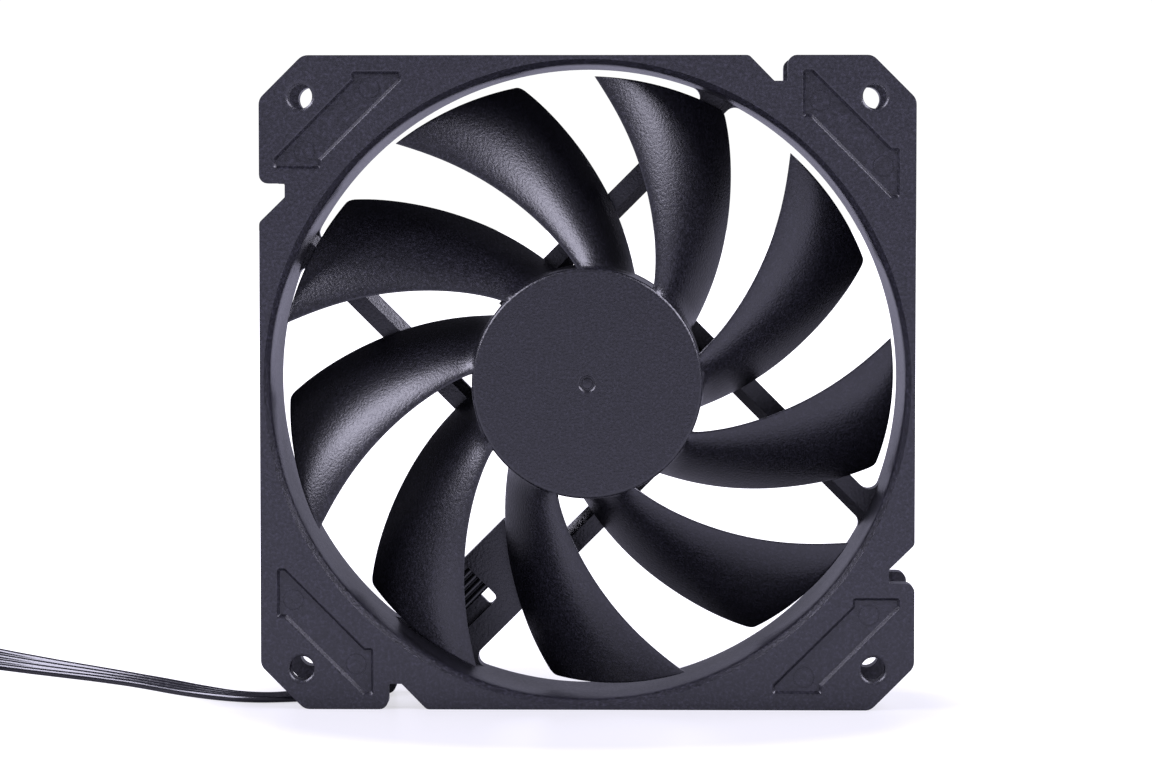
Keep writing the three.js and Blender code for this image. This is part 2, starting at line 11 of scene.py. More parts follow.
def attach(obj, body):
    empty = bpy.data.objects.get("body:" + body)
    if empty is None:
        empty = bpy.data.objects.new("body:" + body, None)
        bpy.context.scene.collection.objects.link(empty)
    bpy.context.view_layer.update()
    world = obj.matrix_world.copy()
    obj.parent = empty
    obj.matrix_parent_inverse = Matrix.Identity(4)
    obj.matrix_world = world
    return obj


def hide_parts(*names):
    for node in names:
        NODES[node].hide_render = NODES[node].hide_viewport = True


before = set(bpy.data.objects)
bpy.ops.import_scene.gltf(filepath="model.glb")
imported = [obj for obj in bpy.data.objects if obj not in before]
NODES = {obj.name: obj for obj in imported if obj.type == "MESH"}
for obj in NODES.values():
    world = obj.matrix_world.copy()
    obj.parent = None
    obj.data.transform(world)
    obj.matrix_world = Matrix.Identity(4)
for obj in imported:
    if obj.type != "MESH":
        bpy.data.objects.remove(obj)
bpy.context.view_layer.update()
R2 = math.sqrt(0.5)
DEPTH, HALF = 25.0, 60.0
FACE = Matrix(((1, 0, 0, 0), (0, 0, 1, -DEPTH / 2), (0, -1, 0, HALF), (0, 0, 0, 1)))
MM = Matrix.Scale(0.001, 4)


# ------------------------------------------------------------------ camera
cam_data = bpy.data.cameras.new("camera")
cam = bpy.data.objects.new("camera", cam_data)
bpy.context.scene.collection.objects.link(cam)
cam.location = (0.01046, -0.66697, 0.09440)
cam.rotation_euler = (math.radians(90 - 2.823), 0, math.radians(1.076))
cam_data.sensor_width = 36
cam_data.lens = 111.94
cam_data.shift_x = -0.0009
cam_data.shift_y = -0.0102
cam_data.clip_start = 0.01
bpy.context.scene.camera = cam


# ------------------------------------------------------------------ mesh helpers
def new_object(name, verts, faces, smooth=True):
    me = bpy.data.meshes.new(name)
    me.from_pydata([tuple(v) for v in verts], [], [tuple(f) for f in faces])
    bm = bmesh.new()
    bm.from_mesh(me)
    bmesh.ops.remove_doubles(bm, verts=bm.verts, dist=1e-5)
    bmesh.ops.recalc_face_normals(bm, faces=bm.faces)
    bm.to_mesh(me)
    bm.free()
    ob = bpy.data.objects.new(name, me)
    bpy.context.scene.collection.objects.link(ob)
    return ob


def prism(pts, z0, z1, name="prism"):
    n = len(pts)
    v = [(x, y, z0) for x, y in pts] + [(x, y, z1) for x, y in pts]
    f = [list(range(n))[::-1], list(range(n, 2 * n))]
    f += [(i, (i + 1) % n, n + (i + 1) % n, n + i) for i in range(n)]
    return new_object(name, v, f)


def spun(profile, seg=96, name="spun"):
    """Solid of revolution about the face z axis. profile is (radius, z); it closes on itself or on the axis."""
    v, rows = [], []
    for r, z in profile:
        if r < 1e-6:
            rows.append([len(v)])
            v.append((0, 0, z))
        else:
            rows.append(list(range(len(v), len(v) + seg)))
            v += [(r * math.cos(2 * math.pi * i / seg), r * math.sin(2 * math.pi * i / seg), z) for i in range(seg)]
    f = []
    closed = len(rows[0]) > 1 or len(rows[-1]) > 1
    pairs = list(zip(rows[:-1], rows[1:]))
    if closed and not (len(rows[0]) == 1 and len(rows[-1]) == 1):
        pairs.append((rows[-1], rows[0]))
    for a, b in pairs:
        for i in range(seg):
            j = (i + 1) % seg
            if len(a) == 1 and len(b) == 1:
                continue
            if len(a) == 1:
                f.append((a[0], b[i], b[j]))
            elif len(b) == 1:
                f.append((a[i], b[0], a[j]))
            else:
                f.append((a[i], b[i], b[j], a[j]))
    return new_object(name, v, f)


def tube(r0, r1, z0, z1, seg=96):
    return spun([(r0, z0), (r1, z0), (r1, z1), (r0, z1)], seg)


def disc(r, z0, z1, seg=96):
    return spun([(0, z0), (r, z0), (r, z1), (0, z1)], seg)


def block(x0, x1, y0, y1, z0, z1):
    return prism([(x0, y0), (x1, y0), (x1, y1), (x0, y1)], z0, z1)


def flared(pts, out, deep):
    """Cutter for a chamfer round a pocket in the z = 0 face: out wide at the face, deep into it."""
    n = len(pts)
    area = sum(pts[i - 1][0] * pts[i][1] - pts[i][0] * pts[i - 1][1] for i in range(n))
    ring = []
    for i in range(n):
        a, p, b = Vector(pts[i - 1]), Vector(pts[i]), Vector(pts[(i + 1) % n])
        u, w = (p - a).normalized(), (b - p).normalized()
        nu, nw = Vector((u.y, -u.x)), Vector((w.y, -w.x))
        m = (nu + nw) / max(0.35, 1 + nu.dot(nw))
        ring.append((p.x, p.y, m.x if area > 0 else -m.x, m.y if area > 0 else -m.y))
    v = []
    for z, k in ((-deep, 2 * out), (deep, 0.0)):
        v += [(x + mx * k, y + my * k, z) for x, y, mx, my in ring]
    f = [list(range(n))[::-1], list(range(n, 2 * n))]
    f += [(i, (i + 1) % n, n + (i + 1) % n, n + i) for i in range(n)]
    return new_object("flared", v, f)


def move(ob, m):
    ob.data.transform(m)
    if m.to_3x3().determinant() < 0:
        ob.data.flip_normals()
    return ob


def combine(a, b, op):
    """Boolean of two meshes; b is used up."""
    mod = a.modifiers.new("bool", "BOOLEAN")
    mod.operation = op
    mod.object = b
    try:
        mod.solver = "MANIFOLD"
    except TypeError:
        mod.solver = "EXACT"
    bpy.context.view_layer.update()
    dg = bpy.context.evaluated_depsgraph_get()
    me = bpy.data.meshes.new_from_object(a.evaluated_get(dg))
    a.modifiers.clear()
    old = a.data
    a.data = me
    bpy.data.meshes.remove(old)
    bpy.data.objects.remove(b)
    return a


def cut(a, b):
    return combine(a, b, "DIFFERENCE")


def add(a, b):
    return combine(a, b, "UNION")


def keep(a, b):
    return combine(a, b, "INTERSECT")


def rounded(pts, seg=6):
    """Closed polygon with rounded corners from (x, y, radius)."""
    out, n = [], len(pts)
    for i in range(n):
        x, y = pts[i][:2]
        r = pts[i][2] if len(pts[i]) > 2 else 0
        if not r:
            out.append((x, y))
            continue
        p, a, b = Vector((x, y)), Vector(pts[i - 1][:2]), Vector(pts[(i + 1) % n][:2])
        u, v = (a - p).normalized(), (b - p).normalized()
        half = math.acos(max(-1, min(1, u.dot(v)))) / 2
        d, c = r / math.tan(half), r / math.sin(half)
        m = (u + v).normalized()
        o = p + m * c
        p0, p1 = p + u * d - o, p + v * d - o
        a0, a1 = math.atan2(p0.y, p0.x), math.atan2(p1.y, p1.x)
        while a1 - a0 > math.pi:
            a1 -= 2 * math.pi
        while a1 - a0 < -math.pi:
            a1 += 2 * math.pi
        for k in range(seg + 1):
            t = a0 + (a1 - a0) * k / seg
            out.append((o.x + r * math.cos(t), o.y + r * math.sin(t)))
    return out


def strut_matrix(turn=0):
    m = Matrix(((-R2, R2, 0, 0), (R2, R2, 0, 0), (0, 0, 1, 0), (0, 0, 0, 1)))   # s, t -> x, y
    return Matrix.Rotation(turn * math.pi / 2, 4, "Z") @ m


def tidy(ob, angle=0.4):
    bm = bmesh.new()
    bm.from_mesh(ob.data)
    bmesh.ops.remove_doubles(bm, verts=bm.verts, dist=2e-4)
    bmesh.ops.dissolve_limit(bm, angle_limit=math.radians(angle), verts=bm.verts, edges=bm.edges)
    bmesh.ops.recalc_face_normals(bm, faces=bm.faces)
    bm.to_mesh(ob.data)
    bm.free()
    return ob


def to_world(ob, name, body, material, replaces=(), bevel=0.0, segments=2, angle=32, face=True, matrix=None,
             sharp=38):
    """Stands a piece up in the row frame, rounds its edges, gives it its material and rides it on its body."""
    m = MM @ (FACE if face else Matrix.Identity(4))
    if matrix is not None:
        m = m @ matrix
    move(ob, m)
    ob.name = name
    ob.data.name = name
    ob.data.materials.clear()
    ob.data.materials.append(material)
    for p in ob.data.polygons:
        p.use_smooth = True
        p.material_index = 0
    if bevel:
        b = ob.modifiers.new("edges", "BEVEL")
        b.width = bevel * 0.001
        b.segments = segments
        b.limit_method = "ANGLE"
        b.angle_limit = math.radians(angle)
        b.use_clamp_overlap = True
        bake(ob)
    sharp_by_angle(ob.data, sharp)
    w = ob.modifiers.new("normals", "WEIGHTED_NORMAL")
    w.mode = "FACE_AREA"
    w.weight = 50
    w.keep_sharp = True
    bake(ob)
    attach(ob, body)
    if replaces:
        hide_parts(*replaces)
    return ob


def bake(ob):
    """Replaces the mesh by the result of its modifiers."""
    bpy.context.view_layer.update()
    dg = bpy.context.evaluated_depsgraph_get()
    me = bpy.data.meshes.new_from_object(ob.evaluated_get(dg), preserve_all_data_layers=True, depsgraph=dg)
    ob.modifiers.clear()
    old = ob.data
    ob.data = me
    name = old.name
    bpy.data.meshes.remove(old)
    me.name = name


def sharp_by_angle(me, deg):
    bm = bmesh.new()
    bm.from_mesh(me)
    lim = math.radians(deg)
    for e in bm.edges:
        e.smooth = not (len(e.link_faces) == 2 and e.calc_face_angle(0) > lim) and len(e.link_faces) == 2
    for f in bm.faces:
        f.smooth = True
    bm.to_mesh(me)
    bm.free()


# ------------------------------------------------------------------ materials
def node_material(name):
    m = bpy.data.materials.new(name)
    m.use_nodes = True
    nt = m.node_tree
    nt.nodes.clear()
    out = nt.nodes.new("ShaderNodeOutputMaterial")
    bsdf = nt.nodes.new("ShaderNodeBsdfPrincipled")
    nt.links.new(bsdf.outputs[0], out.inputs[0])
    tc = nt.nodes.new("ShaderNodeTexCoord")
    return m, nt, bsdf, tc


def noise(nt, tc, scale, detail=4, rough=0.6, vec=None):
    n = nt.nodes.new("ShaderNodeTexNoise")
    n.inputs["Scale"].default_value = scale
    n.inputs["Detail"].default_value = detail
    n.inputs["Roughness"].default_value = rough
    nt.links.new(vec or tc.outputs["Object"], n.inputs["Vector"])
    return n


def ramp(nt, src, stops):
    r = nt.nodes.new("ShaderNodeValToRGB")
    while len(r.color_ramp.elements) < len(stops):
        r.color_ramp.elements.new(0.5)
    for e, (p, c) in zip(r.color_ramp.elements, stops):
        e.position = p
        e.color = (*c, 1) if len(c) == 3 else c
    nt.links.new(src, r.inputs[0])
    return r


def maprange(nt, src, a, b, c, d):
    m = nt.nodes.new("ShaderNodeMapRange")
    for i, v in zip((1, 2, 3, 4), (a, b, c, d)):
        m.inputs[i].default_value = v
    nt.links.new(src, m.inputs[0])
    return m


def plastic(name, dark, light, rough=(0.5, 0.62), grain=5200, bump=0.00004, strength=0.35, spec=0.5, coarse=900):
    """Moulded plastic with a spark-eroded grain: colour mottle, roughness mottle and a fine bump."""
    m, nt, bsdf, tc = node_material(name)
    g = noise(nt, tc, grain, 1.5, 0.6)
    c = noise(nt, tc, coarse, 4, 0.6)
    big = noise(nt, tc, 55, 3, 0.5)
    mix = nt.nodes.new("ShaderNodeMath"); mix.operation = "MULTIPLY_ADD"
    nt.links.new(g.outputs[0], mix.inputs[0]); mix.inputs[1].default_value = 0.74
    half = nt.nodes.new("ShaderNodeMath"); half.operation = "MULTIPLY"
    nt.links.new(c.outputs[0], half.inputs[0]); half.inputs[1].default_value = 0.26
    nt.links.new(half.outputs[0], mix.inputs[2])
    mid = tuple(a + 0.32 * (b - a) for a, b in zip(dark, light))
    r = ramp(nt, mix.outputs[0], [(0.30, dark), (0.52, mid), (0.70, light)])
    nt.links.new(r.outputs[0], bsdf.inputs["Base Color"])
    rr = nt.nodes.new("ShaderNodeMath"); rr.operation = "ADD"
    nt.links.new(maprange(nt, g.outputs[0], 0.3, 0.7, rough[0], rough[1]).outputs[0], rr.inputs[0])
    nt.links.new(maprange(nt, big.outputs[0], 0.3, 0.7, -0.03, 0.03).outputs[0], rr.inputs[1])
    nt.links.new(rr.outputs[0], bsdf.inputs["Roughness"])
    bsdf.inputs["Specular IOR Level"].default_value = spec
    b = nt.nodes.new("ShaderNodeBump")
    b.inputs["Distance"].default_value = bump
    b.inputs["Strength"].default_value = strength
    nt.links.new(g.outputs[0], b.inputs["Height"])
    nt.links.new(b.outputs[0], bsdf.inputs["Normal"])
    return m


def metal(name, dark, light, rough=(0.28, 0.42), scale=(60, 60, 60), stretch=(1, 1, 1), bump=0.00002, metallic=1.0):
    m, nt, bsdf, tc = node_material(name)
    mp = nt.nodes.new("ShaderNodeMapping")
    mp.inputs["Scale"].default_value = stretch
    nt.links.new(tc.outputs["Object"], mp.inputs[0])
    n = noise(nt, tc, scale[0] * 20, 5, 0.65, mp.outputs[0])
    r = ramp(nt, n.outputs[0], [(0.3, dark), (0.7, light)])
    nt.links.new(r.outputs[0], bsdf.inputs["Base Color"])
    nt.links.new(maprange(nt, n.outputs[0], 0.3, 0.7, rough[0], rough[1]).outputs[0], bsdf.inputs["Roughness"])
    bsdf.inputs["Metallic"].default_value = metallic
    b = nt.nodes.new("ShaderNodeBump")
    b.inputs["Distance"].default_value = bump
    b.inputs["Strength"].default_value = 0.3
    nt.links.new(n.outputs[0], b.inputs["Height"])
    nt.links.new(b.outputs[0], bsdf.inputs["Normal"])
    return m


M_FRAME = plastic("frame_plastic", (0.0022, 0.0022, 0.0029), (0.0170, 0.0163, 0.0231), rough=(0.32, 0.40), grain=1850, bump=0.000050, strength=1.0, spec=0.42)
M_BLADE = plastic("impeller_plastic", (0.0012, 0.0012, 0.0016), (0.0120, 0.0116, 0.0162), rough=(0.29, 0.37), grain=2100, bump=0.000056, strength=1.0, spec=0.40)
M_NYLON = plastic("natural_nylon", (0.55, 0.54, 0.49), (0.70, 0.69, 0.64), rough=(0.4, 0.5), grain=1500, strength=0.15)
M_CHIP = plastic("chip_epoxy", (0.012, 0.012, 0.013), (0.022, 0.022, 0.024), rough=(0.45, 0.6), grain=6000, strength=0.3)
M_CERAMIC = plastic("capacitor_ceramic", (0.30, 0.22, 0.14), (0.40, 0.30, 0.20), rough=(0.45, 0.55), grain=5000, strength=0.2)
M_BOARD = plastic("board_mask", (0.008, 0.045, 0.022), (0.014, 0.075, 0.036), rough=(0.22, 0.34), grain=2600, strength=0.15)
M_MAGNET = plastic("bonded_ferrite", (0.028, 0.027, 0.027), (0.05, 0.048, 0.047), rough=(0.55, 0.75), grain=3500, strength=0.4)
M_LABEL = plastic("blank_label", (0.030, 0.030, 0.034), (0.038, 0.038, 0.043), rough=(0.30, 0.38), grain=2200, strength=0.08, spec=0.55)
M_PVC = plastic("lead_pvc", (0.005, 0.005, 0.0065), (0.008, 0.008, 0.0105), rough=(0.16, 0.25), grain=1500, bump=0.00001, strength=0.2, spec=0.40, coarse=160)
M_PLUG = plastic("connector_nylon", (0.010, 0.010, 0.012), (0.018, 0.018, 0.021), rough=(0.36, 0.46), grain=3800, strength=0.25)
M_STEEL = metal("drawn_steel", (0.42, 0.43, 0.45), (0.62, 0.63, 0.66), stretch=(1, 6, 1))
M_LAM = metal("lamination_steel", (0.20, 0.21, 0.23), (0.42, 0.43, 0.46), rough=(0.35, 0.6), stretch=(1, 40, 1))
M_BRASS = metal("turned_brass", (0.50, 0.34, 0.12), (0.70, 0.50, 0.22), stretch=(1, 12, 1))
M_BRONZE = metal("sintered_bronze", (0.22, 0.13, 0.06), (0.38, 0.24, 0.12), rough=(0.5, 0.75), bump=0.00004)
M_COPPER = metal("enamelled_copper", (0.45, 0.15, 0.045), (0.66, 0.27, 0.09), rough=(0.22, 0.36))
M_TIN = metal("tin_plate", (0.62, 0.61, 0.58), (0.78, 0.77, 0.74), rough=(0.2, 0.35))


# ------------------------------------------------------------------ the lead: facts, route, camera first
LEAD_W, LEAD_T = 5.4, 1.35           # flat four-wire lead
EXIT = (-33.05, 7.45, 9.95)
COIL_C = (-153.0, 27.4)
COIL_R0, COIL_STEP = 30.5, 2.3
RUN = [EXIT, (-35.3, 7.4, 7.75), (-38.3, 6.8, 5.2), (-42.2, 4.8, 2.9), (-47.0, 2.2, 1.35), (-52.0, -0.6, 0.8),
       (-56.7, -2.4, 0.72), (-61.5, -2.9, 0.72), (-66.3, -1.4, 0.78), (-73.2, 3.4, 0.95), (-84.0, 13.6, 1.25),
       (-95.0, 22.6, 1.55), (-105.8, 30.2, 1.9), (-117.4, 38.6, 2.35), (-127.5, 46.2, 2.7)]


def catmull(pts, per=24):
    """Centripetal Catmull-Rom through pts, densely sampled."""
    P = [np.array(p, float) for p in pts]
    P = [2 * P[0] - P[1]] + P + [2 * P[-1] - P[-2]]
    out = []
    for i in range(1, len(P) - 2):
        p0, p1, p2, p3 = P[i - 1:i + 3]
        t0 = 0.0
        t1 = t0 + np.linalg.norm(p1 - p0) ** 0.5
        t2 = t1 + np.linalg.norm(p2 - p1) ** 0.5
        t3 = t2 + np.linalg.norm(p3 - p2) ** 0.5
        for t in np.linspace(t1, t2, per, endpoint=False):
            a1 = (t1 - t) / (t1 - t0) * p0 + (t - t0) / (t1 - t0) * p1
            a2 = (t2 - t) / (t2 - t1) * p1 + (t - t1) / (t2 - t1) * p2
            a3 = (t3 - t) / (t3 - t2) * p2 + (t - t2) / (t3 - t2) * p3
            b1 = (t2 - t) / (t2 - t0) * a1 + (t - t0) / (t2 - t0) * a2
            b2 = (t3 - t) / (t3 - t1) * a2 + (t - t1) / (t3 - t1) * a3
            out.append((t2 - t) / (t2 - t1) * b1 + (t - t1) / (t2 - t1) * b2)
    out.append(P[-2])
    return np.array(out)


def resample(p, step):
    d = np.r_[0, np.cumsum(np.linalg.norm(np.diff(p, axis=0), axis=1))]
    n = max(2, int(round(d[-1] / step)) + 1)
    s = np.linspace(0, d[-1], n)
    return np.stack([np.interp(s, d, p[:, k]) for k in range(3)], 1), s


BEND = 13.0
A0 = math.radians(52.3)
PLUG_DEG = 130.0
END = math.radians(36.3) + 2 * math.pi * 2       # where the lead leaves the coil for its connector


def coil_z(a):
    d = (math.degrees(a) - 190 + 180) % 360 - 180
    return 2.76 + 0.97 * math.exp(-(d / 34.0) ** 2)


def cable_route():
    run = catmull(RUN)
    turn = []
    for a in np.linspace(A0, END, 240):
        r = COIL_R0 - COIL_STEP * (a - A0) / (2 * math.pi)
        turn.append((COIL_C[0] + r * math.cos(a), COIL_C[1] + r * math.sin(a), coil_z(a)))
    ri = COIL_R0 - COIL_STEP * (END - A0) / (2 * math.pi)
    bc = (COIL_C[0] + (ri - BEND) * math.cos(END), COIL_C[1] + (ri - BEND) * math.sin(END))
    tail = []
    for d in np.linspace(0, PLUG_DEG, 60)[1:]:
        a = END + math.radians(d)
        z = coil_z(END) + (2.45 - coil_z(END)) * min(1, d / 90)
        tail.append((bc[0] + BEND * math.cos(a), bc[1] + BEND * math.sin(a), z))
    pts = np.array(list(run) + turn + tail)
    # ease the joins
    for _ in range(30):
        q = pts.copy()
        q[1:-1] = 0.5 * pts[1:-1] + 0.25 * (pts[:-2] + pts[2:])
        pts = q
    return pts, bc


ROUTE, BEND_C = cable_route()
ROUTE, SLEN = resample(ROUTE, 0.9)
TOTAL = SLEN[-1]                                 # before the path is lifted by the hundredths its tilted width needs


def roll_at(s):
    """Angle of the ribbon's width above the horizontal: on edge in the slot, flat on the table, then rising onto its edge for the coil."""
    keys = [(0, 90), (6, 78), (22, 6), (30, 1), (40, 2), (47, 5), (54, 7), (66, 8), (77, 13), (88, 20), (101, 30), (110, 42), (124, 76), (134, 90),
            (TOTAL - 26, 90), (TOTAL - 9, 4), (TOTAL, 0)]
    return np.interp(s, [k[0] for k in keys], [k[1] for k in keys])


def frames(path, s):
    T = np.gradient(path, axis=0)
    T /= np.linalg.norm(T, axis=1)[:, None]
    up = np.array([0, 0, 1.0])
    side = np.cross(up, T)                      # to the left of travel, horizontal
    side /= np.linalg.norm(side, axis=1)[:, None]
    nrm = np.cross(T, side)                     # upwards
    return T, side, nrm


def ribbon_section(w=LEAD_W, t=LEAD_T, wires=4, per=9, web=0.42):
    """Outline of four wires moulded side by side, with a thin web between them."""
    pitch = w / wires
    top = []
    for k in range(wires):
        cx = (k - (wires - 1) / 2) * pitch
        for i in range(per):
            a = math.pi - math.pi * (i + 0.5) / per
            x, y = cx + pitch / 2 * math.cos(a), t / 2 * math.sin(a)
            inner = (k > 0 and i == 0) or (k < wires - 1 and i == per - 1)
            top.append((x, max(y, web * t / 2) if inner or (0 < i < per - 1) else y * 0.9))
    return top + [(x, -y) for x, y in reversed(top)]


def sweep(path, U, V, section, caps=True):
    """Closed tube: each section point is path + x*U + y*V."""
    n, m = len(path), len(section)
    sec = np.array(section)
    v = (path[:, None, :] + sec[None, :, 0:1] * U[:, None, :] + sec[None, :, 1:2] * V[:, None, :]).reshape(-1, 3)
    f = []
    for i in range(n - 1):
        for j in range(m):
            k = (j + 1) % m
            f.append((i * m + j, i * m + k, (i + 1) * m + k, (i + 1) * m + j))
    f.append(tuple(range(m))[::-1])
    f.append(tuple((n - 1) * m + j for j in range(m)))
    return v, f


SPLIT = 8.0                                      # the wires part this far from the connector
roll = np.radians(roll_at(SLEN))
need = LEAD_W / 2 * np.sin(roll) + LEAD_T / 2 * np.cos(roll) * 1.02 + 0.06
need[SLEN < 9] = 0
lift = np.maximum(need - ROUTE[:, 2], 0)
for _ in range(12):
    lift = np.maximum(np.maximum(need - ROUTE[:, 2], 0), np.r_[lift[0], (lift[:-2] + 2 * lift[1:-1] + lift[2:]) / 4, lift[-1]])
ROUTE[:, 2] += lift
T, side, nrm = frames(ROUTE, SLEN)
U = np.cos(roll)[:, None] * side - np.sin(roll)[:, None] * nrm
V = np.cross(T, U)
body_n = int(np.searchsorted(SLEN, TOTAL - SPLIT))
v, f = sweep(ROUTE[:body_n], U[:body_n], V[:body_n], ribbon_section())
verts, faces = list(map(tuple, v)), list(f)
circ = [(math.cos(2 * math.pi * i / 14), math.sin(2 * math.pi * i / 14)) for i in range(14)]
for k in range(4):
    idx = np.arange(body_n - 2, len(ROUTE))
    q = (SLEN[idx] - SLEN[idx[0]]) / (TOTAL - SLEN[idx[0]])
    e = q * q * (3 - 2 * q)
    off = (k - 1.5) * (LEAD_W / 4 * (1 - e) + 2.54 * e)
    p = ROUTE[idx] + off[:, None] * U[idx]
    # run 1.6 mm on into the connector
    d = T[idx[-1]]
    p = np.vstack([p, p[-1] + d * 0.8, p[-1] + d * 1.7])
    UU = np.vstack([U[idx], U[idx[-1]], U[idx[-1]]])
    VV = np.vstack([V[idx], V[idx[-1]], V[idx[-1]]])
    r = 0.62
    v, f = sweep(p, UU * r, VV * r, circ)
    b = len(verts)
    verts += list(map(tuple, v))
    faces += [tuple(i + b for i in x) for x in f]
cable = new_object("cable_ribbon", verts, faces)
to_world(cable, "cable_ribbon", "housing", M_PVC, ("cable_run", "cable_coil", "cable_tail"), face=False)


# ------------------------------------------------------------------ housing
SEG = 192
H, C = HALF, 8.0
N_SLOPE, N_FLOOR, N_WALL, N_DEPTH, N_R = 30.5, 25.9, 23.4, 4.7, 1.6
FLANGE, DUCT_R, DUCT_OUT, MOUTH_R = 4.0, 58.15, 59.9, 59.3
T0, T1, Z0, Z1 = 17.2, 22.0, 20.2, 24.7
TA, TB = 12.0 - 2.74, 12.0 + 2.9


def outline():
    side_pts = [(-H + C, -H, 2.4), (H - N_SLOPE, -H, 1.2), (H - N_FLOOR, -H + N_DEPTH, 0.35),
                (H - N_WALL, -H + N_DEPTH, 0.35), (H - N_WALL, -H, N_R), (H - C, -H, 2.4)]
    pts = []
    for k in range(4):
        for x, y, r in side_pts:
            for _ in range(k):
                x, y = -y, x
            pts.append((x, y, r))
    return rounded(pts, 5)


def strut_fillet(t, outward, z0, z1, turn, r=2.0):
    """Fillet between a strut's side at offset t and the duct wall; outward is +1 on the side away from the axis."""
    tc = t + outward * r
    s = math.sqrt((DUCT_R - r) ** 2 - tc * tc)
    ac = math.atan2(tc, s)                       # in (s, t)
    a_line = math.atan2(-outward, 0)             # from the centre to the strut side
    a_wall = ac
    pts = []
    while a_wall - a_line > math.pi:
        a_wall -= 2 * math.pi
    while a_wall - a_line < -math.pi:
        a_wall += 2 * math.pi
    for i in range(9):
        a = a_line + (a_wall - a_line) * i / 8
        pts.append((s + r * math.cos(a), tc + r * math.sin(a)))
    out = DUCT_R + 0.7
    pts.append((out * math.cos(ac), out * math.sin(ac)))
    ti = t - outward * 0.4
    pts.append((math.sqrt(out * out - ti * ti), ti))
    pts.append((s, ti))
    ob = prism(pts, z0, z1)
    return move(ob, strut_matrix(turn))


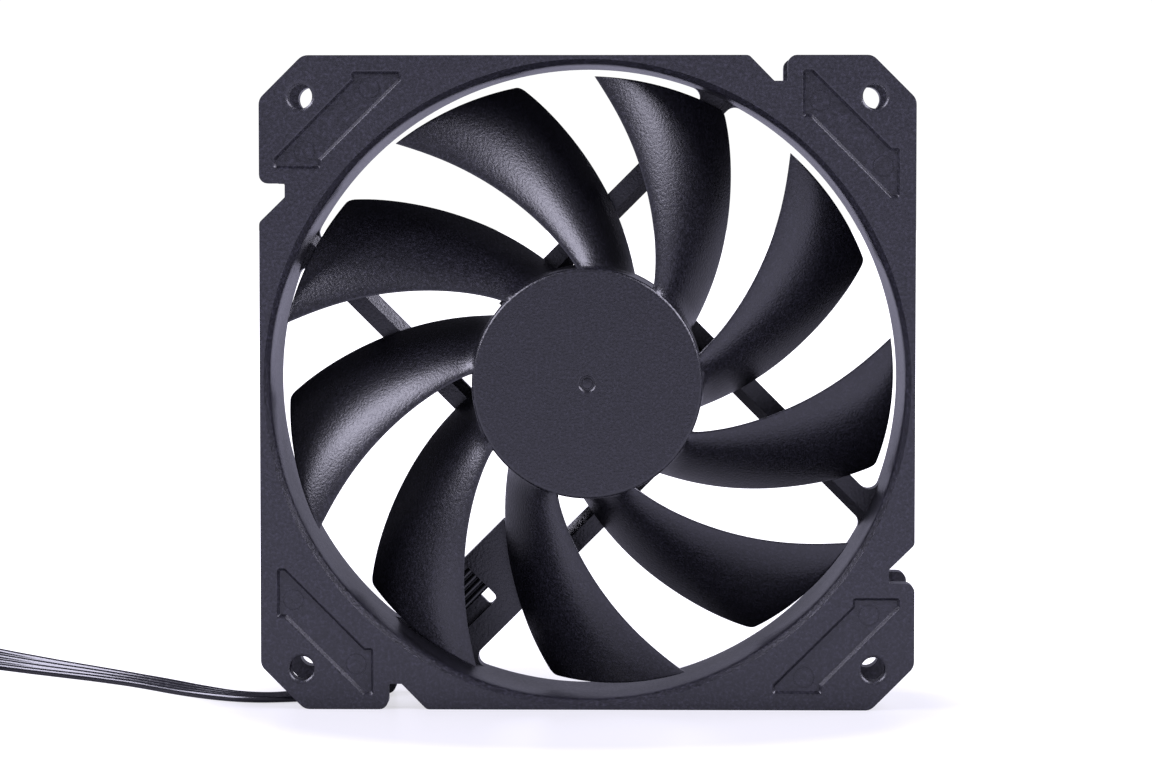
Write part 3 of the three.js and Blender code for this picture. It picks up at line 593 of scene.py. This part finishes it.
def build_frame():
    o = outline()
    body = prism(o, 0, FLANGE)
    body = add(body, prism(o, DEPTH - FLANGE, DEPTH))
    body = add(body, disc(DUCT_OUT, 1, DEPTH - 1, SEG))
    body = cut(body, disc(DUCT_R, -1, DEPTH + 1, SEG))
    body = cut(body, spun([(0, -1), (MOUTH_R + 0.9, -1), (MOUTH_R, 0), (MOUTH_R - 0.78, 1.18), (MOUTH_R - 0.93, 1.52), (MOUTH_R - 1.03, 2.0),
                           (MOUTH_R - 1.10, 2.7), (DUCT_R + 0.02, 4.0), (DUCT_R, 5.4), (0, 5.4)], SEG))
    body = cut(body, spun([(0, 26), (DUCT_R + 1.3, 26), (DUCT_R + 0.3, 25), (DUCT_R, 24.7), (0, 24.7)], SEG))
    for sx in (-1, 1):
        for sy in (-1, 1):
            h = spun([(0, -1), (3.4, -1), (3.05, -0.0), (2.62, 0.16), (2.5, 0.2), (2.25, 0.42), (2.25, DEPTH - 0.42), (2.5, DEPTH - 0.2),
                      (3.4, DEPTH + 1), (0, DEPTH + 1)], 48)
            body = cut(body, move(h, Matrix.Translation((sx * 52.5, sy * 52.5, 0))))
    rec = [(16.9, 2.95), (26.0, 2.95), (26.0, 4.5), (11.3, 19.1), (11.3, 20.7), (2.6, 20.7), (2.6, 18.9), (16.9, 4.5)]
    for k in range(4):
        p = []
        for x, y in rec:
            x, y = x - H, y - H
            for _ in range(k):
                x, y = -y, x
            p.append((x, y, 0.3))
        # the pocket walls slope inwards, 0.5 over the depth
        q = []
        for i in range(8):
            a, b, c = (Vector(p[j % 8][:2]) for j in (i - 1, i, i + 1))
            u, w = (b - a).normalized(), (c - b).normalized()
            m = (Vector((-u.y, u.x)) + Vector((-w.y, w.x))) / (1 + u.dot(w))
            q.append((b.x + 0.5 * m.x, b.y + 0.5 * m.y, 0.12) if u.x * w.y - u.y * w.x > 0 else (b.x + 0.5 * m.x, b.y + 0.5 * m.y))
        ring = []
        for i, c in enumerate(q):
            if len(c) == 2:
                ring.append(c)
                continue
            b, a, d = Vector(c[:2]), Vector(q[i - 1][:2]), Vector(q[(i + 1) % 8][:2])
            u, w = (a - b).normalized(), (d - b).normalized()
            ring += [tuple(b + c[2] * u), tuple(b + 0.35 * c[2] * (u + w)), tuple(b + c[2] * w)]
        body = cut(body, flared(ring, 0.62, 0.9))
        body = cut(body, flared(rounded(p, 3), 0.30, 0.19))
        for ex, ey in ((8.3, 17.5), (20.2, 6.0)):
            x, y = ex - H, ey - H
            for _ in range(k):
                x, y = -y, x
            body = cut(body, move(tube(1.72, 2.0, 0.5, 1.02, 40), Matrix.Translation((x, y, 0))))
    sec = [(T0, Z0 + 1.9), (T0 + 1.7, Z0), (T1, Z0), (T1, Z1), (T0, Z1)]
    guard = disc(DUCT_R + 0.8, 10, DEPTH, SEG)
    arms = None
    for k in range(4):
        n = len(sec)
        s0, s1 = -2.0, 59.4
        v = [(s0, t, z) for t, z in sec] + [(s1, t, z) for t, z in sec]
        f = [tuple(range(n)), tuple(range(n, 2 * n))[::-1]] + [(i, (i + 1) % n, n + (i + 1) % n, n + i) for i in range(n)]
        a = move(new_object("arm", v, f), strut_matrix(k))
        arms = a if arms is None else add(arms, a)
        arms = add(arms, strut_fillet(T1, 1, Z0, Z1, k))
        if k:
            arms = add(arms, strut_fillet(T0, -1, Z0 + 1.9, Z1, k))
    plate = move(prism([(30.3, 7.5), (60, 7.5), (60, T1), (30.3, T1)], Z0, Z1), strut_matrix(0))
    arms = add(arms, plate)
    arms = add(arms, strut_fillet(7.5, -1, Z0, Z1, 0))
    # fillet where the plate meets the narrow part of its strut
    fp = [(30.5, T0 + 0.4), (30.5, T0 - 2.2)] + [(28.1 + 2.2 * math.cos(a), T0 - 2.2 + 2.2 * math.sin(a)) for a in np.linspace(0, math.pi / 2, 8)] + [(28.1, T0 + 0.4)]
    arms = add(arms, move(prism(fp, Z0 + 1.2, Z1), strut_matrix(0)))
    arms = keep(arms, guard)
    chan = [(41.5, TA, 0.0), (62, TA, 0), (62, 17.3, 0), (41.5, 17.3, 1.1)]
    arms = cut(arms, move(prism(rounded(chan, 5), 10, 22.9), strut_matrix(0)))
    arms = cut(arms, move(block(20, 43.8, TA, TB, 21.2, 30), strut_matrix(0)))
    win = [(41.5, TA, 0.0), (43.8, TA, 0.6), (43.8, 17.3, 0.6), (41.5, 17.3, 1.1)]
    arms = cut(arms, move(prism(rounded(win, 5), 10, 30), strut_matrix(0)))
    body = add(body, arms)
    base = disc(21.5, 22.8, DEPTH, SEG)
    base = add(base, tube(19.7, 21.5, 19.0, 23.2, SEG))
    base = add(base, disc(7.0, 16.7, 23.2, 64))
    for a in (20, 140, 260):
        t = math.radians(a)
        base = add(base, move(disc(1.3, 20.4, 23.2, 24), Matrix.Translation((14.2 * math.cos(t), 14.2 * math.sin(t), 0))))
    base = cut(base, disc(5.4, 16, 22.8, 64))
    base = cut(base, move(block(12, 24, 5.6, 11.6, 20.4, 22.8), strut_matrix(0)))
    body = add(body, base)
    body = cut(body, disc(18.9, 24.3, 26, SEG))
    body = cut(body, move(block(53, 62, TA, TB, 18.9, 20.95), strut_matrix(0)))
    return tidy(body)


shell = build_frame()
to_world(shell, "frame_shell", "housing", M_FRAME, ("frame",), bevel=0.24, segments=3, angle=34)


# ------------------------------------------------------------------ impeller
LE = [0.959, 0.782, -2.192, 2.492, -17.34, 43.935]
TE = [-1.723, 0.481, -0.812, 3.216, -18.883, 70.776]
TIP = 56.2


def edge_angle(c, r):
    a = np.polyval(c, (max(r, 23) - 40) / 20)
    if r < 23:
        a += (np.polyval(c, (23 - 40) / 20) - np.polyval(c, (23.5 - 40) / 20)) / 0.5 * (23 - r)
    return a


def blade_loop(r, nc, shrink=1.0):
    f = (r - 21.2) / (TIP - 21.2)
    z0, z1 = 1.1 + 0.7 * f, 16.9 + 0.9 * f
    a0 = edge_angle(LE, r) + math.degrees(0.3 / r)
    a1 = edge_angle(TE, r) - math.degrees(0.15 / r)
    L, Hh = math.radians(a1 - a0) * r, z1 - z0
    chord, kappa = math.atan2(Hh, L), math.radians(34)
    fine = 200
    ang = chord - kappa / 2 + kappa * (np.arange(fine) + 0.5) / fine
    x = np.r_[0, np.cumsum(np.cos(ang))]
    y = np.r_[0, np.cumsum(np.sin(ang))]
    k = math.hypot(L, Hh) / math.hypot(x[-1], y[-1])
    x, y = x * k, y * k
    S = math.hypot(L, Hh)
    rc = 0.9
    pull = rc * (1 - math.sqrt(max(0, 1 - ((r - TIP + rc) / rc) ** 2))) if r > TIP - rc else 0
    keep_t = 1 - pull / S
    tmax = (2.3 - 1.0 * f) * shrink
    root = max(0.0, 1 - (r - 21.2) / 1.5) ** 2 * 0.9
    te = 0.55 * (0.9 - 0.25 * f) * shrink
    c = 0.5 - 0.5 * np.cos(np.linspace(0, math.pi, nc + 1))
    up, dn = [], []
    for w in c:
        q = w * keep_t
        px, py = np.interp(q, np.linspace(0, 1, fine + 1), x), np.interp(q, np.linspace(0, 1, fine + 1), y)
        a = chord - kappa / 2 + kappa * q
        h = 0.5 * tmax * (math.sqrt(max(0, 1 - (1 - min(w / 0.30, 1)) ** 2)) if w < 0.30 else 1 - (1 - 0.5) * ((w - 0.30) / 0.70) ** 1.4)
        end = (0.5 * te) / S * 1.6
        if w > 1 - end:
            h *= math.sqrt(max(0, 1 - ((w - 1 + end) / end) ** 2))
        h += root * math.sin(math.pi * w) ** 0.5 if 0 < w < 1 else 0
        up.append((px + h * math.sin(a), py - h * math.cos(a)))
        dn.append((px - h * math.sin(a), py + h * math.cos(a)))
    loop = up + dn[-2:0:-1]
    out = []
    for s, z in loop:
        t = math.radians(a0) + s / r
        out.append((r * math.cos(t), r * math.sin(t), max(0.72, z0 + z)))
    return out


def build_blade():
    nr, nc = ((30, 26))
    rs = list(20.5 + (TIP - 1.6 - 20.5) * np.linspace(0, 1, nr)) + [TIP - 1.2, TIP - 0.85, TIP - 0.5, TIP - 0.25, TIP - 0.08, TIP]
    sh = [1.0] * (len(rs) - 2) + [0.93, 0.78]
    loops = [blade_loop(r, nc, k) for r, k in zip(rs, sh)]
    n = len(loops[0])
    v = [p for l in loops for p in l]
    f = []
    for i in range(len(loops) - 1):
        for j in range(n):
            k = (j + 1) % n
            f.append((i * n + j, i * n + k, (i + 1) * n + k, (i + 1) * n + j))
    for base in (0, (len(loops) - 1) * n):
        # strips across the end: up side 0..nc, down side from n-1 back to nc+1
        up = [base + j for j in range(nc + 1)]
        dn = [base] + [base + n - j for j in range(1, nc)] + [base + nc]
        for j in range(nc):
            q = [up[j], up[j + 1], dn[j + 1], dn[j]]
            q = [a for i, a in enumerate(q) if a not in q[:i]]
            f.append(tuple(q))
    return new_object("blade", v, f)


def build_impeller():
    z = 0.6
    seg = SEG
    # small ring left by the mould around a flat centre
    prof = [(0, z + 0.10), (0.78, z + 0.10), (0.88, z + 0.15), (0.97, z + 0.36), (1.06, z + 0.40), (1.26, z + 0.40), (1.36, z + 0.36), (1.60, z + 0.05), (1.72, z)]
    prof += [(21.2 - 0.75, z)] + [(21.2 - 0.75 + 0.75 * math.sin(a), z + 0.75 - 0.75 * math.cos(a)) for a in np.linspace(0, math.pi / 2, 7)[1:]]
    prof += [(21.45, 17.9), (21.3, 18.2), (20.1, 18.2), (19.95, 18.0), (19.95, z + 1.7), (3.6, z + 1.7), (3.6, 6.2), (1.58, 6.2), (1.58, 3.2), (0, 3.2)]
    hub = spun(prof, seg)
    blade = build_blade()
    blade = cut(blade, disc(20.5, 0.4, 18.6, seg))
    for k in range(9):
        b = bpy.data.objects.new("b", blade.data.copy())
        bpy.context.scene.collection.objects.link(b)
        move(b, Matrix.Rotation(k * 2 * math.pi / 9, 4, "Z"))
        hub = add(hub, b)
    bpy.data.objects.remove(blade)
    return hub


impeller = build_impeller()
to_world(impeller, "impeller_moulding", "rotor", M_BLADE, ("impeller",))


# ------------------------------------------------------------------ lead held by the housing
def build_lead():
    c = [(9.5, 21.35), (18, 21.45), (21.5, 21.53), (24, 21.6), (27, 22.0), (29.5, 22.35), (32, 22.5), (38.5, 22.5), (42.6, 22.05), (46, 21.6), (50.0, 21.1), (53.2, 19.95), (59.7, 19.95)]
    def at(s):
        q = min(1, max(0, (29.5 - s) / 9))
        return 12.0 - 3.4 * q * q * (3 - 2 * q)
    p = catmull([(s, 12.0, z) for s, z in c], 10)
    p[:, 1] = [at(s) for s in p[:, 0]]
    p, s = resample(p, 0.8)
    T = np.gradient(p, axis=0)
    T /= np.linalg.norm(T, axis=1)[:, None]
    V = np.tile(np.array([0, 0, 1.0]), (len(p), 1))
    V -= T * (V * T).sum(1)[:, None]
    V /= np.linalg.norm(V, axis=1)[:, None]
    U = np.cross(V, T)
    v, f = sweep(p, U, V, ribbon_section())
    ob = new_object("lead", v, f)
    return move(ob, strut_matrix(0))


lead = build_lead()
to_world(lead, "motor_lead_ribbon", "housing", M_PVC, ("motor_lead",))


# ------------------------------------------------------------------ blank label on the motor base
lab = spun([(0, 24.62), (18.35, 24.62), (18.5, 24.68), (18.5, 24.78), (18.42, 24.84), (17.2, 24.84), (17.12, 24.80), (16.88, 24.80), (16.8, 24.84), (0, 24.84)], SEG)
to_world(lab, "blank_label_disc", "housing", M_LABEL, ("rear_label",))


# ------------------------------------------------------------------ connector and tie
plug_dir = END + math.radians(PLUG_DEG) + math.pi / 2
px = BEND_C[0] + BEND * math.cos(END + math.radians(PLUG_DEG)) + 0.3 * math.cos(plug_dir)
py = BEND_C[1] + BEND * math.sin(END + math.radians(PLUG_DEG)) + 0.3 * math.sin(plug_dir)
PLUG_M = Matrix.Translation((px, py, 0.1)) @ Matrix.Rotation(plug_dir, 4, "Z")


def build_plug():
    w, h, l = 10.2, 4.6, 12.8
    b = block(0, l, -w / 2, w / 2, 0, h)
    b = add(b, block(1.2, l, -w / 2 + 1.1, -w / 2 + 2.2, h - 0.2, h + 1.1))
    b = add(b, block(1.2, l, w / 2 - 4.6, w / 2 - 3.5, h - 0.2, h + 1.1))
    for i in range(4):
        y = (i - 1.5) * 2.54
        b = cut(b, block(-1, l + 1, y - 0.85, y + 0.85, 1.3, 3.2))
        b = cut(b, block(3.5, 6.5, y - 0.5, y + 0.5, -1, 1.5))
        b = cut(b, block(l - 0.7, l + 1, y - 1.02, y + 1.02, 1.12, 3.38))
    return tidy(b)


plug = build_plug()
to_world(plug, "connector_shell", "housing", M_PLUG, ("connector_housing",), bevel=0.14, segments=2, face=False, matrix=PLUG_M)
for i in range(4):
    y = (i - 1.5) * 2.54
    t = block(4.2, 12.0, y - 0.5, y + 0.5, 1.75, 2.75)
    t = cut(t, block(6.2, 13, y - 0.34, y + 0.34, 1.92, 2.58))
    t = add(t, block(1.2, 4.4, y - 0.22, y + 0.22, 1.75, 1.98))
    to_world(tidy(t), f"connector_contact_{i + 1}", "housing", M_TIN, (f"connector_terminal_{i + 1}",), bevel=0.05, segments=1, face=False, matrix=PLUG_M)


def build_tie():
    r0, r1, z0, z1, t, w = 26.1, 30.9, 0.72, 6.75, 0.65, 1.5
    outer = rounded([(r0 - t, z0 - t, 1.6), (r1 + t, z0 - t, 1.6), (r1 + t, z1 + t, 1.6), (r0 - t, z1 + t, 1.6)], 6)
    inner = rounded([(r0, z0, 1.0), (r1, z0, 1.0), (r1, z1, 1.0), (r0, z1, 1.0)], 6)
    turn = Matrix(((1, 0, 0, 0), (0, 0, 1, 0), (0, 1, 0, 0), (0, 0, 0, 1)))   # x, y, z -> radial, z, tangential
    a = move(prism(outer, -w, w), turn)
    a = cut(a, move(prism(inner, -w - 1, w + 1), turn))
    head = prism(rounded([(r1 + 0.4, -2.2, 0.4), (r1 + 3.0, -2.2, 0.9), (r1 + 3.0, 2.2, 0.9), (r1 + 0.4, 2.2, 0.4)], 4), 2.0, 6.1)
    head = cut(head, block(r1 + 1.3, r1 + 2.1, -1.6, 1.6, 1.0, 7.5))
    a = add(a, head)
    a = add(a, prism([(r1 + 1.36, -1.5), (r1 + 2.04, -1.5), (r1 + 2.04, 1.5), (r1 + 1.36, 1.5)], 1.2, 7.4))
    for k in range(7):
        z = 1.5 + 0.62 * k
        if z < 1.9 or z > 6.2:
            a = add(a, block(r1 + 1.9, r1 + 2.16, -1.1, 1.1, z, z + 0.3))
    return tidy(a)


tie = build_tie()
to_world(tie, "coil_tie", "housing", M_PLUG, ("cable_tie",), bevel=0.12, segments=2, face=False,
         matrix=Matrix.Translation((COIL_C[0], COIL_C[1], 0)) @ Matrix.Rotation(math.radians(190), 4, "Z"))

# ------------------------------------------------------------------ CAD pieces that stay, with their finishes
KEPT = {
    "rotor_yoke": M_STEEL, "rotor_magnet": M_MAGNET, "shaft": M_STEEL, "retaining_clip": M_NYLON, "bearing_tube": M_BRASS,
    "sleeve_bearing": M_BRONZE, "oil_washer": M_NYLON, "thrust_pad": M_NYLON, "stator_core": M_LAM,
    "stator_insulator_front": M_NYLON, "stator_insulator_rear": M_NYLON, "winding_1": M_COPPER, "winding_2": M_COPPER,
    "winding_3": M_COPPER, "winding_4": M_COPPER, "circuit_board": M_BOARD, "driver_chip": M_CHIP, "hall_sensor": M_CHIP,
    "filter_capacitor": M_CERAMIC, "sense_resistor": M_CHIP,
}
for name, mat in KEPT.items():
    ob = NODES[name]
    ob.data.materials.clear()
    ob.data.materials.append(mat)

print("LEAD LENGTH mm", TOTAL)

# ------------------------------------------------------------------ floor, light
floor_m, nt, bsdf, tc = node_material("floor")
bsdf.inputs["Base Color"].default_value = (0.12, 0.119, 0.126, 1)
bsdf.inputs["Roughness"].default_value = 0.30
bsdf.inputs["Specular IOR Level"].default_value = 0.16
bsdf.inputs["Emission Color"].default_value = (0.995, 0.985, 1.02, 1)
# the floor glows though it is no lamp: to all other rays it is painted light, bright just in front of the fan, faint at
# its feet and rising far behind it; to the camera the glow burns all of it out white
fsep = nt.nodes.new("ShaderNodeSeparateXYZ")
nt.links.new(tc.outputs["Object"], fsep.inputs[0])
near = maprange(nt, fsep.outputs[1], -0.050, -0.002, 1.14, 0.09)
near.interpolation_type = "SMOOTHSTEP"
deep = maprange(nt, fsep.outputs[1], 0.12, 0.42, 0.0, 0.32)
rise = nt.nodes.new("ShaderNodeMath")
rise.operation = "ADD"
nt.links.new(near.outputs[0], rise.inputs[0])
nt.links.new(deep.outputs[0], rise.inputs[1])
flp = nt.nodes.new("ShaderNodeLightPath")
fmix = nt.nodes.new("ShaderNodeMix")
fmix.data_type = "FLOAT"
nt.links.new(flp.outputs["Is Camera Ray"], fmix.inputs[0])
nt.links.new(rise.outputs[0], fmix.inputs[2])
far = maprange(nt, fsep.outputs[1], -0.02, 0.45, 0.62, 1.2)
# painted shade: to the camera a soft patch around the feet of the fan glows less and stays a little below white,
# standing in for the fan's shadow and reflection on the floor
painted_shade_patch = nt.nodes.new("ShaderNodeMapping")
painted_shade_patch.inputs["Location"].default_value = (0, 0.08, 0)
painted_shade_patch.inputs["Scale"].default_value = (1 / 0.070, 1 / 0.058, 0)
nt.links.new(tc.outputs["Object"], painted_shade_patch.inputs[0])
reach = nt.nodes.new("ShaderNodeVectorMath")
reach.operation = "LENGTH"
nt.links.new(painted_shade_patch.outputs[0], reach.inputs[0])
# painted shade: no added glow inside the ellipse, up to 0.42 outside it
edge = maprange(nt, reach.outputs["Value"], 0.86, 1.22, 0.0, 0.42)
edge.interpolation_type = "SMOOTHSTEP"
both_f = nt.nodes.new("ShaderNodeMath")
both_f.operation = "ADD"
nt.links.new(far.outputs[0], both_f.inputs[0])
nt.links.new(edge.outputs[0], both_f.inputs[1])
nt.links.new(both_f.outputs[0], fmix.inputs[3])
nt.links.new(fmix.outputs[0], bsdf.inputs["Emission Strength"])
# painted light: the glow the floor gives to bounce rays is bluish, so it tints the fan; to the camera it is nearly
# neutral
tint = nt.nodes.new("ShaderNodeMix")
tint.data_type = "RGBA"
nt.links.new(flp.outputs["Is Camera Ray"], tint.inputs[0])
tint.inputs[6].default_value = (0.95, 0.925, 1.26, 1)
tint.inputs[7].default_value = (0.985, 0.975, 1.02, 1)
nt.links.new(tint.outputs[2], bsdf.inputs["Emission Color"])
me = bpy.data.meshes.new("floor")
me.from_pydata([(-6, -3, 0), (6, -3, 0), (6, 9, 0), (-6, 9, 0)], [], [(0, 1, 2, 3)])
floor = bpy.data.objects.new("floor", me)
bpy.context.scene.collection.objects.link(floor)
me.materials.append(floor_m)

# the room: a pale front wall, dark sides, and a bright white sweep behind the object, which is also what the camera sees
world = bpy.data.worlds.new("studio")
bpy.context.scene.world = world
world.use_nodes = True
wn = world.node_tree
wn.nodes.clear()
out = wn.nodes.new("ShaderNodeOutputWorld")
amb = wn.nodes.new("ShaderNodeBackground")
seen = wn.nodes.new("ShaderNodeBackground")
amb.inputs[0].default_value = (0.95, 0.93, 1.21, 1)
seen.inputs[0].default_value = (1, 1, 1, 1)
seen.inputs[1].default_value = 1.05
wtc = wn.nodes.new("ShaderNodeTexCoord")
sep = wn.nodes.new("ShaderNodeSeparateXYZ")
wn.links.new(wtc.outputs["Generated"], sep.inputs[0])
back = wn.nodes.new("ShaderNodeMapRange")
back.interpolation_type = "SMOOTHSTEP"
for i, v in zip((1, 2, 3, 4), (0.82, 0.95, 0.0, 0.37)):
    back.inputs[i].default_value = v
wn.links.new(sep.outputs[1], back.inputs[0])
low = wn.nodes.new("ShaderNodeMapRange")
low.interpolation_type = "SMOOTHSTEP"
for i, v in zip((1, 2, 3, 4), (0.25, 0.5, 1.0, 0.0)):
    low.inputs[i].default_value = v
wn.links.new(sep.outputs[2], low.inputs[0])
both = wn.nodes.new("ShaderNodeMath")
both.operation = "MULTIPLY_ADD"
wn.links.new(back.outputs[0], both.inputs[0])
wn.links.new(low.outputs[0], both.inputs[1])
both.inputs[2].default_value = 0.05
front = wn.nodes.new("ShaderNodeMapRange")
front.interpolation_type = "SMOOTHSTEP"
for i, v in zip((1, 2, 3, 4), (-0.80, -0.15, 0.47, 0.0)):
    front.inputs[i].default_value = v
wn.links.new(sep.outputs[1], front.inputs[0])
room = wn.nodes.new("ShaderNodeMath")
room.operation = "ADD"
wn.links.new(both.outputs[0], room.inputs[0])
wn.links.new(front.outputs[0], room.inputs[1])
wn.links.new(room.outputs[0], amb.inputs[1])
lp = wn.nodes.new("ShaderNodeLightPath")
mixs = wn.nodes.new("ShaderNodeMixShader")
wn.links.new(lp.outputs["Is Camera Ray"], mixs.inputs[0])
wn.links.new(amb.outputs[0], mixs.inputs[1])
wn.links.new(seen.outputs[0], mixs.inputs[2])
wn.links.new(mixs.outputs[0], out.inputs[0])


def softbox(name, az, el, dist, size, size_y, energy, colour=(1, 1, 1)):
    """Area light aimed at the middle of the fan; az is measured from the front towards +x, both in degrees."""
    a, e = math.radians(az), math.radians(el)
    mid = Vector((0, 0, 0.06))
    loc = mid + dist * Vector((math.sin(a) * math.cos(e), -math.cos(a) * math.cos(e), math.sin(e)))
    d = bpy.data.lights.new(name, "AREA")
    d.shape = "RECTANGLE"
    d.size, d.size_y = size, size_y
    d.energy = energy
    d.color = colour
    ob = bpy.data.objects.new(name, d)
    bpy.context.scene.collection.objects.link(ob)
    ob.location = loc
    ob.rotation_euler = (mid - loc).to_track_quat("-Z", "Y").to_euler()
    return ob


softbox("key_left", -77, 37, 1.3, 1.20, 0.76, 49, (0.96, 0.935, 1.15))
softbox("key_right", 80, 37, 1.3, 1.40, 0.84, 58, (0.96, 0.935, 1.15))

vs = bpy.context.scene.view_settings
vs.view_transform = "Standard"
vs.look = "None"
vs.exposure = 0
vs.gamma = 1
